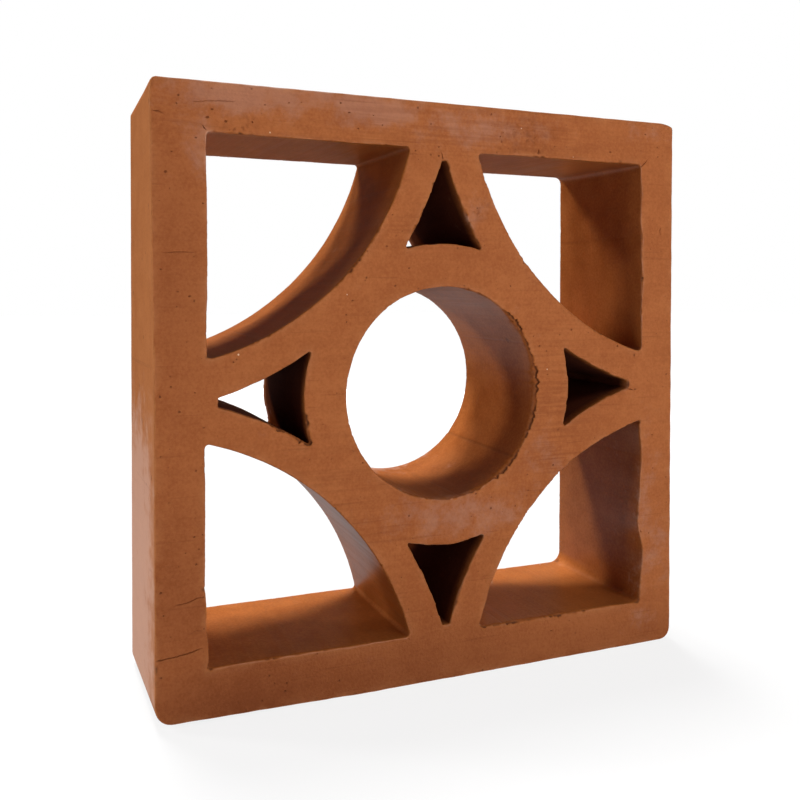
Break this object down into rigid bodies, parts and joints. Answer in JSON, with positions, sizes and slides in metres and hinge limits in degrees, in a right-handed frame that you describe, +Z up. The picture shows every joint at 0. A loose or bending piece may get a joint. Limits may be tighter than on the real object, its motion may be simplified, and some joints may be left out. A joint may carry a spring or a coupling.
{
  "type": "terracotta breeze block",
  "caption": "Square fired-clay screen-wall block, pierced right through by a round middle hole, quarter-round corner openings and small three-sided openings beside the ring.",
  "frame": {"origin": "middle of the bed face, halfway through the thickness", "axes": "+X along the wall, +Y through the wall from the front cut face to the back cut face, +Z up as laid"},
  "size_m": [0.2, 0.05, 0.2],
  "materials": {
    "fired_clay": "matte"
  },
  "bodies": {
    "root": {"breeze_block": "fired_clay"}
  },
  "joints": []
}
